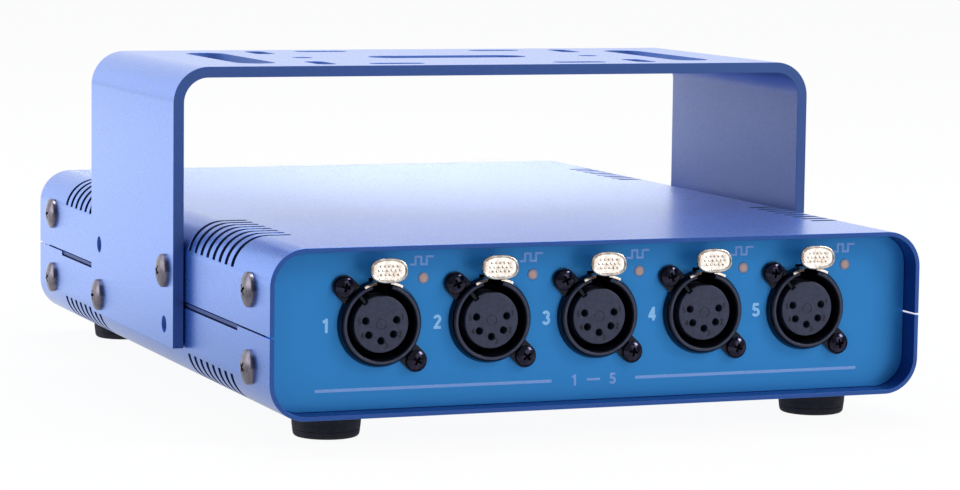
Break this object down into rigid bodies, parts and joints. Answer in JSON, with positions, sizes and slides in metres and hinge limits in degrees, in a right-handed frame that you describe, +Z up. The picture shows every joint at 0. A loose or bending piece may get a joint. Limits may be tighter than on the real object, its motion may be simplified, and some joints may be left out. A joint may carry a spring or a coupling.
{
  "type": "dmx splitter",
  "caption": "Flat blue metal DMX splitter with five-pin output sockets, push latches, corner vents, rubber feet and a slotted suspension yoke.",
  "frame": {"origin": "on the ground below the centre of the case, where the rubber feet stand", "axes": "+X to the right when the output sockets are seen from in front, +Y from the outputs to the rear panel, +Z up"},
  "size_m": [0.197, 0.246, 0.0938],
  "materials": {
    "cover_paint": "satin metallic blue",
    "rail_paint": "satin metallic blue",
    "panel_paint": "satin blue",
    "nickel": "nickel plated",
    "latch_chrome": "bright",
    "black_plastic": "gloss black",
    "insert_plastic": "matt dark grey",
    "black_screw": "black plated",
    "lamp_resin": "diffused",
    "rubber": "matt",
    "board": "solder mask",
    "supply_board": "solder mask"
  },
  "bodies": {
    "case": {"bottom_cover": "cover_paint", "case_screw_left_front_lower": "nickel", "case_screw_left_front_upper": "nickel", "case_screw_left_rear_lower": "nickel", "case_screw_left_rear_upper": "nickel", "case_screw_right_front_lower": "nickel", "case_screw_right_front_upper": "nickel", "case_screw_right_rear_lower": "nickel", "case_screw_right_rear_upper": "nickel", "foot_front_left": "rubber", "foot_front_right": "rubber", "foot_rear_left": "rubber", "foot_rear_right": "rubber", "front_panel": "panel_paint", "input_connector": "black_plastic", "lamp_1": "lamp_resin", "lamp_2": "lamp_resin", "lamp_3": "lamp_resin", "lamp_4": "lamp_resin", "lamp_5": "lamp_resin", "link_insert": "insert_plastic", "link_shell": "black_plastic", "main_board": "board", "mains_inlet": "black_plastic", "output_1_insert": "insert_plastic", "output_1_screw_lower": "black_screw", "output_1_screw_upper": "black_screw", "output_1_shell": "black_plastic", "output_2_insert": "insert_plastic", "output_2_screw_lower": "black_screw", "output_2_screw_upper": "black_screw", "output_2_shell": "black_plastic", "output_3_insert": "insert_plastic", "output_3_screw_lower": "black_screw", "output_3_screw_upper": "black_screw", "output_3_shell": "black_plastic", "output_4_insert": "insert_plastic", "output_4_screw_lower": "black_screw", "output_4_screw_upper": "black_screw", "output_4_shell": "black_plastic", "output_5_insert": "insert_plastic", "output_5_screw_lower": "black_screw", "output_5_screw_upper": "black_screw", "output_5_shell": "black_plastic", "power_supply": "supply_board", "rear_panel": "panel_paint", "side_rail_left": "rail_paint", "side_rail_right": "rail_paint", "top_cover": "cover_paint", "yoke_bracket": "cover_paint", "yoke_screw_left_lower": "nickel", "yoke_screw_left_upper": "nickel", "yoke_screw_right_lower": "nickel", "yoke_screw_right_upper": "nickel"},
    "output_1_latch": {"output_1_latch": "latch_chrome"},
    "output_2_latch": {"output_2_latch": "latch_chrome"},
    "output_3_latch": {"output_3_latch": "latch_chrome"},
    "output_4_latch": {"output_4_latch": "latch_chrome"},
    "output_5_latch": {"output_5_latch": "latch_chrome"},
    "link_latch": {"link_latch": "latch_chrome"}
  },
  "joints": [
    {"name": "output_1_latch_press", "type": "hinge", "parent": "case", "child": "output_1_latch", "pos_m": [-0.06131, -0.1117, 0.04095], "axis": [1, 0, 0], "range_deg": [0, 10], "stiffness_Nm_per_rad": 0.05, "springref_deg": -5.73},
    {"name": "output_2_latch_press", "type": "hinge", "parent": "case", "child": "output_2_latch", "pos_m": [-0.03065, -0.1117, 0.04095], "axis": [1, 0, 0], "range_deg": [0, 10], "stiffness_Nm_per_rad": 0.05, "springref_deg": -5.73},
    {"name": "output_3_latch_press", "type": "hinge", "parent": "case", "child": "output_3_latch", "pos_m": [0, -0.1117, 0.04095], "axis": [1, 0, 0], "range_deg": [0, 10], "stiffness_Nm_per_rad": 0.05, "springref_deg": -5.73},
    {"name": "output_4_latch_press", "type": "hinge", "parent": "case", "child": "output_4_latch", "pos_m": [0.03065, -0.1117, 0.04095], "axis": [1, 0, 0], "range_deg": [0, 10], "stiffness_Nm_per_rad": 0.05, "springref_deg": -5.73},
    {"name": "output_5_latch_press", "type": "hinge", "parent": "case", "child": "output_5_latch", "pos_m": [0.06131, -0.1117, 0.04095], "axis": [1, 0, 0], "range_deg": [0, 10], "stiffness_Nm_per_rad": 0.05, "springref_deg": -5.73},
    {"name": "link_latch_press", "type": "hinge", "parent": "case", "child": "link_latch", "pos_m": [-0.03065, 0.1117, 0.04095], "axis": [-1, 0, 0], "range_deg": [0, 10], "stiffness_Nm_per_rad": 0.05, "springref_deg": -5.73}
  ]
}
